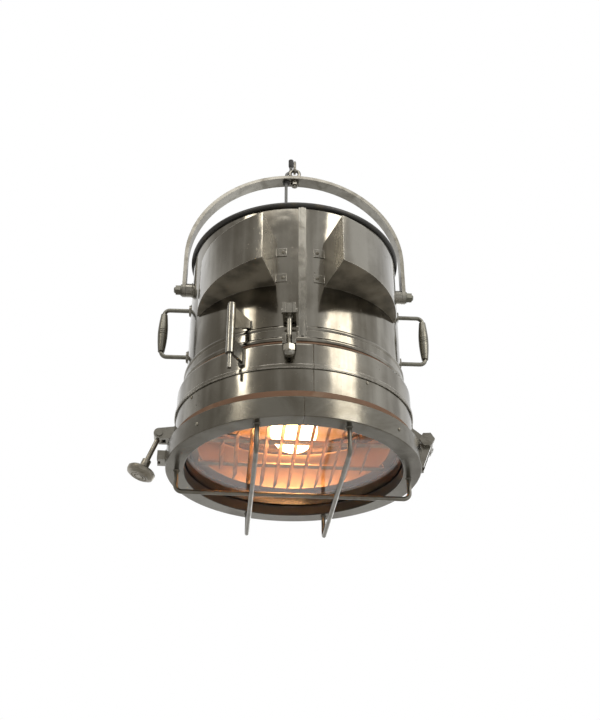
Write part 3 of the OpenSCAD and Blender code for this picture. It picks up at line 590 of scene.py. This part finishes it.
def ring_flat(x, y, z, size, count=16):
    """A closed path round a level circle on the guard, which is turned a little."""
    turn = math.radians(GUARD_TURN)
    cx = x * math.cos(turn) - y * math.sin(turn)
    cy = x * math.sin(turn) + y * math.cos(turn)
    turns = [2 * math.pi * k / count for k in range(count)]
    return [lamp(cx + size * math.cos(t), cy + size * math.sin(t), z) for t in turns], True


def smooth_path(points, steps):
    """Points on one smooth curve through the given ones."""
    p = [Vector(q) for q in points]
    p = [p[0] * 2 - p[1], *p, p[-1] * 2 - p[-2]]
    path = []
    for a, b, c, d in zip(p, p[1:], p[2:], p[3:]):
        for k in range(steps):
            t = k / steps
            path.append(0.5 * (2 * b + (c - a) * t + (2 * a - 5 * b + 4 * c - d) * t * t
                               + (3 * b - a - 3 * c + d) * t ** 3))
    return [*path, p[-2]]


def tube(name, path, radius, sides):
    """A closed tube along a path, with a UV map of turns round it and metres along it."""
    made = bmesh.new()
    rings, gone = [], [0.0]
    for i, point in enumerate(path):
        ahead = (path[min(i + 1, len(path) - 1)] - path[max(i - 1, 0)]).normalized()
        first = (CORD_SIDE - ahead * ahead.dot(CORD_SIDE)).normalized()
        second = ahead.cross(first)
        if i:
            gone.append(gone[-1] + (point - path[i - 1]).length)
        rings.append([made.verts.new(point + radius * (math.cos(a) * first + math.sin(a) * second))
                      for a in (2 * math.pi * k / sides for k in range(sides))])
    uv = made.loops.layers.uv.new("UVMap")
    for i in range(len(rings) - 1):
        for k in range(sides):
            n = (k + 1) % sides
            face = made.faces.new((rings[i][k], rings[i][n], rings[i + 1][n], rings[i + 1][k]))
            face.smooth = True
            for loop, spot in zip(face.loops, ((k, i), (k + 1, i), (k + 1, i + 1), (k, i + 1))):
                loop[uv].uv = (spot[0] / sides, gone[spot[1]])
    made.faces.new(list(reversed(rings[0])))
    made.faces.new(rings[-1])
    bmesh.ops.recalc_face_normals(made, faces=made.faces)
    mesh = bpy.data.meshes.new(name)
    made.to_mesh(mesh)
    made.free()
    return mesh, gone[-1]


class SearchlightFinish(bpy.types.PropertyGroup):
    """Colours of the lamp's finishes."""
    polished: FloatVectorProperty(name="Polished steel", description="Clean polished sheet", subtype="COLOR",
                                  default=(0.31, 0.294, 0.256), min=0, max=1)
    tarnish: FloatVectorProperty(name="Tarnish", description="Brown film on old steel", subtype="COLOR",
                                 default=(0.10, 0.088, 0.067), min=0, max=1)
    satin: FloatVectorProperty(name="Satin steel", description="Door ring and guard", subtype="COLOR",
                               default=(0.21, 0.20, 0.172), min=0, max=1)
    fitting: FloatVectorProperty(name="Fittings", description="Yoke, lugs, bolts and handles", subtype="COLOR",
                                 default=(0.28, 0.267, 0.233), min=0, max=1)
    dull: FloatVectorProperty(name="Dull sheet", description="Unpolished underside of the cowls", subtype="COLOR",
                              default=(0.32, 0.285, 0.225), min=0, max=1)
    # Pale colour of edges rubbed bare, which also paints a highlight along the sheet edges.
    bare: FloatVectorProperty(name="Bare edge", description="Sheet edges that are rubbed bare", subtype="COLOR",
                              default=(0.78, 0.74, 0.66), min=0, max=1)
    # Dark colour of dirt in pits and joints, also used as painted shade in corners and on the door ring's inner wall.
    grime_and_shade: FloatVectorProperty(name="Grime", description="Dirt in corners, pits and joints", subtype="COLOR",
                               default=(0.045, 0.035, 0.024), min=0, max=1)
    blackened: FloatVectorProperty(name="Blackened rim", description="Roll round the top edge", subtype="COLOR",
                                   default=(0.04, 0.038, 0.034), min=0, max=1)
    gasket: FloatVectorProperty(name="Gasket", description="Aged gasket", subtype="COLOR",
                                default=(0.20, 0.10, 0.05), min=0, max=1)
    gasket_pale: FloatVectorProperty(name="Bleached gasket", description="Paler patches of the gasket",
                                     subtype="COLOR", default=(0.27, 0.17, 0.105), min=0, max=1)
    louvre: FloatVectorProperty(name="Louvre", description="Heat-browned vanes", subtype="COLOR",
                                default=(0.52, 0.33, 0.18), min=0, max=1)
    lining: FloatVectorProperty(name="Lining", description="Inner wall of the collar", subtype="COLOR",
                                default=(0.58, 0.38, 0.23), min=0, max=1)
    pivot: FloatVectorProperty(name="Pivot steel", description="Nuts, washers and studs of the tilt pivots",
                               subtype="COLOR", default=(0.20, 0.195, 0.165), min=0, max=1)
    knob: FloatVectorProperty(name="Knob", description="Door knob and its bolt", subtype="COLOR",
                              default=(0.32, 0.295, 0.245), min=0, max=1)
    grip: FloatVectorProperty(name="Grips", description="Turned grips of the handles", subtype="COLOR",
                              default=(0.20, 0.192, 0.162), min=0, max=1)
    rubber: FloatVectorProperty(name="Rubber", description="Grommet, seal and plug body", subtype="COLOR",
                                default=(0.03, 0.03, 0.03), min=0, max=1)
    rubber_pale: FloatVectorProperty(name="Dusty rubber", description="Dust on the rubber", subtype="COLOR",
                                     default=(0.08, 0.075, 0.07), min=0, max=1)
    glass: FloatVectorProperty(name="Glass", description="Tint of the front glass", subtype="COLOR",
                               default=(0.97, 0.98, 0.97), min=0, max=1)
    dish: FloatVectorProperty(name="Reflector", description="Spun reflector", subtype="COLOR",
                              default=(0.80, 0.64, 0.46), min=0, max=1)
    dish_old: FloatVectorProperty(name="Aged reflector", description="Heat stains on it", subtype="COLOR",
                                  default=(0.62, 0.44, 0.28), min=0, max=1)
    glow: FloatVectorProperty(name="Glow", description="Light of the bulb", subtype="COLOR",
                              default=(1.0, 0.54, 0.235), min=0, max=1)
    brass: FloatVectorProperty(name="Cap", description="Screw cap of the bulb", subtype="COLOR",
                               default=(0.72, 0.58, 0.30), min=0, max=1)
    ceramic: FloatVectorProperty(name="Ceramic", description="Lamp socket", subtype="COLOR",
                                 default=(0.78, 0.75, 0.68), min=0, max=1)
    cord_dark: FloatVectorProperty(name="Cord shade", description="Gaps of the woven sleeve", subtype="COLOR",
                                   default=(0.10, 0.10, 0.10), min=0, max=1)
    cord_light: FloatVectorProperty(name="Cord thread", description="Threads of the woven sleeve",
                                    subtype="COLOR", default=(0.36, 0.36, 0.35), min=0, max=1)


class SearchlightStage(bpy.types.PropertyGroup):
    """Camera, light and floor."""
    camera_place: FloatVectorProperty(name="Camera", description="Camera's place from the centre of the door's face",
                                      subtype="TRANSLATION", unit="LENGTH", default=(-0.0896, -1.7104, -0.7607))
    camera_pitch: FloatProperty(name="Pitch", description="Upward tilt of the camera", subtype="ANGLE",
                                default=0.5383)
    camera_turn: FloatProperty(name="Turn", description="Turn of the camera to the right", subtype="ANGLE",
                               default=0.0597)
    lens: FloatProperty(name="Lens", description="Focal length in millimetres", default=47.5, min=10)
    floor_z: FloatProperty(name="Floor", description="Height of the floor", unit="LENGTH", default=-2.15)
    bulb_strength: FloatProperty(name="Bulb brightness", description="Brightness of the bulb's glass", default=22.0,
                                 min=0)


class SearchlightSizes(bpy.types.PropertyGroup):
    """Sizes of the pieces that the dressing adds."""
    cord_diameter: FloatProperty(name="Cord diameter", description="Diameter of the power cord", unit="LENGTH",
                                 default=7 * MM, min=6 * MM, max=7.5 * MM)
    weld_radius: FloatProperty(name="Weld bead", description="Radius of a weld's ripples", unit="LENGTH",
                               default=1.9 * MM, min=1 * MM, max=3 * MM)
    weld_pitch: FloatProperty(name="Weld pitch", description="Spacing of a weld's ripples", unit="LENGTH",
                              default=1.7 * MM, min=1 * MM, max=4 * MM)
    screw_radius: FloatProperty(name="Screw head", description="Radius of the slotted screw heads", unit="LENGTH",
                                default=3.6 * MM, min=3 * MM, max=4 * MM)
    screw_height: FloatProperty(name="Screw height", description="Height of the slotted screw heads", unit="LENGTH",
                                default=2.2 * MM, min=1.5 * MM, max=3 * MM)
    slot_width: FloatProperty(name="Slot width", description="Width of the screws' slots", unit="LENGTH",
                              default=1.0 * MM, min=0.5 * MM, max=1.5 * MM)
    cord_sides: IntProperty(name="Cord sides", description="Facets round the cord", default=20, min=8, max=48)


class SEARCHLIGHT_OT_stage(bpy.types.Operator):
    """Camera at the photograph's angle, floor, backdrop and soft light"""
    bl_idname = "searchlight.stage"
    bl_label = "Stage"

    def execute(self, context):
        scene = context.scene
        setting = scene.searchlight_stage
        scene.view_settings.view_transform = "Standard"
        lens = bpy.data.cameras.new("photo_camera")
        lens.sensor_width = 36
        lens.lens = setting.lens
        camera = bpy.data.objects.new("photo_camera", lens)
        scene.collection.objects.link(camera)
        camera.location = Vector(setting.camera_place) + Vector((0, 0, FACE_Z))
        camera.rotation_euler = (math.pi / 2 + setting.camera_pitch, 0, -setting.camera_turn)
        scene.camera = camera
        self.surroundings(scene)
        self.floor(scene, setting.floor_z)
        self.lamps(scene)
        return {"FINISHED"}

    @staticmethod
    def surroundings(scene):
        """A white backdrop, pale grey in front on the left, that camera, metal and glass all show alike."""
        world = bpy.data.worlds.new("studio")
        scene.world = world
        world.use_nodes = True
        tree = world.node_tree
        tree.nodes.clear()
        x, y, z = parts(tree, Wire.add(tree, "ShaderNodeTexCoord", out="Generated"))
        left_front = z * 0.25 - x * 0.75 - y * 0.60
        backdrop = blend_colour(tree, soft_step(tree, left_front, 0.12, 0.80), (1, 1, 1), (0.55, 0.535, 0.51))
        camera = Wire.add(tree, "ShaderNodeLightPath", out="Is Camera Ray")
        outputs = camera.socket.node.outputs
        seen = camera.of("MAXIMUM", Wire(outputs["Is Glossy Ray"]))
        seen = seen.of("MAXIMUM", Wire(outputs["Is Transmission Ray"]))
        lit = blend_colour(tree, seen, (0.36, 0.355, 0.345), backdrop)
        back = Wire.add(tree, "ShaderNodeBackground", None, {"Color": lit, "Strength": 1.0})
        end = tree.nodes.new("ShaderNodeOutputWorld")
        tree.links.new(back.socket, end.inputs["Surface"])

    @staticmethod
    def floor(scene, height):
        """A pale floor that fades out to the white surroundings."""
        made = bmesh.new()
        bmesh.ops.create_circle(made, cap_ends=True, segments=96, radius=FLOOR_R)
        mesh = bpy.data.meshes.new("floor")
        made.to_mesh(mesh)
        made.free()
        floor = new_piece("floor", mesh)
        floor.location.z = height
        material, tree, shader, where = start("pale_floor")
        x, y, _ = parts(tree, where)
        far = soft_step(tree, (x * x + y * y).of("SQRT"), 1.2, 4.5)
        shade = cloud(tree, where, 1.5, 3.0)
        feed(tree, shader, Base_Color=blend_colour(tree, shade, (0.80, 0.79, 0.77), (0.84, 0.83, 0.81)),
             Roughness=0.8, Alpha=1.0 - far)
        mesh.materials.append(material)

    @staticmethod
    def lamps(scene):
        """Soft boxes to the right, left, above and behind, which the metal shows as its highlights."""
        centre = lamp(0, 0, 250)
        boxes = [("right_box", (1.61, -1.70, 1.35), (1.0, 1.0), 21, (1.0, 0.96, 0.88)),
                 ("left_box", (-1.76, -1.48, 1.42), (0.45, 0.9), 9, (1.0, 0.95, 0.85)),
                 ("top_box", (-0.37, -1.62, 2.13), (1.7, 1.1), 16, (1.0, 0.98, 0.95)),
                 ("back_box", (0.6, 2.3, 0.2), (1.4, 1.4), 12, (0.96, 0.98, 1.0))]
        for name, place, size, power, colour in boxes:
            light = bpy.data.lights.new(name, "AREA")
            light.shape = "RECTANGLE"
            light.size, light.size_y = size
            light.energy, light.color = power, colour
            box = bpy.data.objects.new(name, light)
            scene.collection.objects.link(box)
            box.location = Vector(place) + Vector((0, 0, centre.z))
            box.rotation_euler = (centre - box.location).to_track_quat("-Z", "Y").to_euler()
            box.visible_camera = False


class SEARCHLIGHT_OT_cord(bpy.types.Operator):
    """Power cord from the gland through the yoke, with its woven sleeve"""
    bl_idname = "searchlight.cord"
    bl_label = "Power cord"

    def execute(self, context):
        size = context.scene.searchlight_sizes
        path = smooth_path([lamp(*p) for p in CORD_ROUTE], 8)
        mesh, length = tube("cord", path, size.cord_diameter / 2, size.cord_sides)
        cord = new_piece("cord", mesh, braided("woven_cord", context.scene.searchlight_finish))
        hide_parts("power_cord")
        lamp(-20, 0, 740)
        lamp(-20, 0, 600)
        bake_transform(cord)
        return {"FINISHED"}


class SEARCHLIGHT_OT_sheets(bpy.types.Operator):
    """Polished and tarnished sheet of the drum, collar and cowls"""
    bl_idname = "searchlight.sheets"
    bl_label = "Sheet metal"

    def execute(self, context):
        finish = context.scene.searchlight_finish
        dress(polished_sheet("drum_sheet", finish), "drum_shell", "top_cap", "drum_ring")
        dress(polished_sheet("cowl_sheet", finish, cowl=True), "left_cowl", "right_cowl")
        lined = COLLAR_R - SHEET_T / 2
        dress(polished_sheet("collar_sheet", finish, (5.7, COLLAR_R), 0.05, lined), "collar_shell", "collar_bead")
        dress(worn_steel("seam_steel", finish, finish.fitting, 0.1), "seam_strip")
        dress(dark_roll("dark_rim", finish), "rim_ring")
        return {"FINISHED"}


class SEARCHLIGHT_OT_fittings(bpy.types.Operator):
    """Worn steel of the yoke, handles, hinges and clamps"""
    bl_idname = "searchlight.fittings"
    bl_label = "Fittings"

    def execute(self, context):
        finish = context.scene.searchlight_finish
        taken = [row["node"] for row in frame["record"]["subparts"] if row["material_slot"] == "fittings_steel"]
        dress(worn_steel("worn_fittings", finish, finish.fitting, 0.12), *taken)
        dress(worn_steel("yoke_steel", finish, finish.fitting, 0.24), "yoke_strap")
        dress(worn_steel("pivot_steel", finish, finish.pivot, 0.3), "pivot_nuts", "pivot_washers", "pivot_studs")
        knob = worn_steel("knob_steel", finish, finish.knob, 0.25)
        dress(knob, "door_swing_bolt")
        rods = worn_steel("handle_steel", finish, finish.pivot, 0.22)
        grips = worn_steel("grip_steel", finish, finish.grip, 0.26)
        for node, metal in (("door_knob", knob), ("left_handle", rods), ("right_handle", rods),
                            ("left_grip", grips), ("right_grip", grips)):
            smoothed(node, metal)
        return {"FINISHED"}


class SEARCHLIGHT_OT_screws(bpy.types.Operator):
    """Slotted screw heads on the cowl tabs, the collar and the door ring"""
    bl_idname = "searchlight.screws"
    bl_label = "Screws"

    def execute(self, context):
        size, finish = context.scene.searchlight_sizes, context.scene.searchlight_finish
        tree = screw_tree()
        dark = worn_steel("screw_steel", finish, finish.knob, 0.3, 0.2 * MM)
        tab = DRUM_R + 1.8 * MM
        places = {
            "cowl_screws": ("lamp", [(s * 8.6, tab, z) for s in (-1, 1) for z in (315, 376)]),
            "collar_screws": ("lamp", [(32 + 90 * k, COLLAR_R + 0.1 * MM, 98) for k in range(4)]),
            "bezel_screws": ("door", [(s * a, DOOR_R + 0.1 * MM, 20) for s in (-1, 1) for a in (47.5, 132.5)]),
        }
        for seed, (node, (body, spots)) in enumerate(places.items()):
            values = {"Head radius": size.screw_radius, "Head height": size.screw_height,
                      "Slot width": size.slot_width, "Seed": seed, "Material": dark}
            piece = grown("slotted_" + node, tree, points_mesh(node + "_spots", spots), values)
            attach(piece, body)
            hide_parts(node)
        return {"FINISHED"}


class SEARCHLIGHT_OT_welds(bpy.types.Operator):
    """Weld beads round the lugs, feet and bosses and on the guard"""
    bl_idname = "searchlight.welds"
    bl_label = "Welds"

    def execute(self, context):
        size, finish = context.scene.searchlight_sizes, context.scene.searchlight_finish
        tree = weld_tree()
        metal = worn_steel("weld_steel", finish, finish.satin, 0.32, 0.3 * MM)
        on_lamp = [patch(-25.6, DRUM_R, 4.4, 210, 224), patch(-27.2, COLLAR_R, 4.4, 123, 154),
                   patch(82, COLLAR_R, 8.6, 60, 94), patch(-88, COLLAR_R, 15.6, 61, 88)]
        for azimuth in (-90, 90):
            on_lamp += [ring_on(azimuth, DRUM_R, 12.5, z) for z in (260, 376)]
            on_lamp.append(ring_on(azimuth, DRUM_R, 15.5, 430))
        on_door = [patch(82 + s * 3.07, DOOR_R, 5.6, 4, 38) for s in (-1, 1)]
        on_door.append(patch(-88, DOOR_R, 16.6, 15, 34))
        feet = [(sx * 82, sy * 212.7) for sx in (-1, 1) for sy in (-1, 1)] + [(-228, 0), (228, 0)]
        on_door += [ring_flat(x, y, 0, 5) for x, y in feet]
        on_door += [ring_flat(x, 0, -45.5, 4.4) for x in (-82, 82)]
        for seed, (body, paths) in enumerate((("lamp", on_lamp), ("door", on_door))):
            values = {"Bead radius": size.weld_radius, "Pitch": size.weld_pitch, "Seed": seed, "Material": metal}
            piece = grown(body + "_welds", tree, paths_mesh(body + "_weld_paths", paths), values)
            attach(piece, body)
        return {"FINISHED"}


class SEARCHLIGHT_OT_door(bpy.types.Operator):
    """Door ring, guard, glass and its seals"""
    bl_idname = "searchlight.door"
    bl_label = "Door"

    def execute(self, context):
        finish = context.scene.searchlight_finish
        # The door ring's inner wall round the glass is painted dark as shade.
        dress(turned_ring("door_steel", finish, (1.3, DOOR_R), GLASS_EDGE_R + 0.8 * MM), "bezel")
        dress(worn_steel("guard_steel", finish, finish.satin, 0.22), "guard")
        dress(turned_ring("retainer_steel", finish), "glass_retainer")
        dress(clear_pane("door_glass", finish), "glass")
        rubber = aged_rubber("black_rubber", finish.rubber, finish.rubber_pale, 0.55)
        dress(rubber, "glass_seal", "cord_grommet", "cord_connector")
        dress(aged_rubber("brown_gasket", finish.gasket, finish.gasket_pale, 0.55), "joint_gasket", "door_gasket")
        return {"FINISHED"}


class SEARCHLIGHT_OT_inside(bpy.types.Operator):
    """Reflector, louvre, bulb and socket"""
    bl_idname = "searchlight.inside"
    bl_label = "Inside"

    def execute(self, context):
        finish = context.scene.searchlight_finish
        dress(dish_metal("spun_dish", finish), "reflector")
        dress(worn_steel("louvre_sheet", finish, finish.louvre, 0.35), "louvre")
        dress(lit_bulb("lit_bulb", finish, context.scene.searchlight_stage.bulb_strength), "bulb")
        dress(glazed("glazed_socket", finish), "lamp_socket")
        return {"FINISHED"}


class SEARCHLIGHT_PT_panel(bpy.types.Panel):
    """Lists the lamp's settings and the steps that dress it"""
    bl_idname = "SEARCHLIGHT_PT_panel"
    bl_label = "Searchlight"
    bl_space_type = "VIEW_3D"
    bl_region_type = "UI"
    bl_category = "Searchlight"

    def draw(self, context):
        for step in STEPS:
            self.layout.operator(step.bl_idname)
        for group in (context.scene.searchlight_sizes, context.scene.searchlight_finish,
                      context.scene.searchlight_stage):
            for name in group.__annotations__:
                self.layout.prop(group, name)


STEPS = (SEARCHLIGHT_OT_stage, SEARCHLIGHT_OT_cord, SEARCHLIGHT_OT_sheets, SEARCHLIGHT_OT_fittings,
         SEARCHLIGHT_OT_screws, SEARCHLIGHT_OT_welds, SEARCHLIGHT_OT_door, SEARCHLIGHT_OT_inside)
GROUPS = {"searchlight_finish": SearchlightFinish, "searchlight_stage": SearchlightStage,
          "searchlight_sizes": SearchlightSizes}


def register():
    for kind in (*GROUPS.values(), *STEPS, SEARCHLIGHT_PT_panel):
        bpy.utils.register_class(kind)
    for name, kind in GROUPS.items():
        setattr(bpy.types.Scene, name, PointerProperty(type=kind))


def unregister():
    for name in GROUPS:
        delattr(bpy.types.Scene, name)
    for kind in reversed((*GROUPS.values(), *STEPS, SEARCHLIGHT_PT_panel)):
        bpy.utils.unregister_class(kind)


def main():
    register()
    for step in STEPS:
        group, name = step.bl_idname.split(".")
        getattr(getattr(bpy.ops, group), name)()


if __name__ == "__main__":
    main()
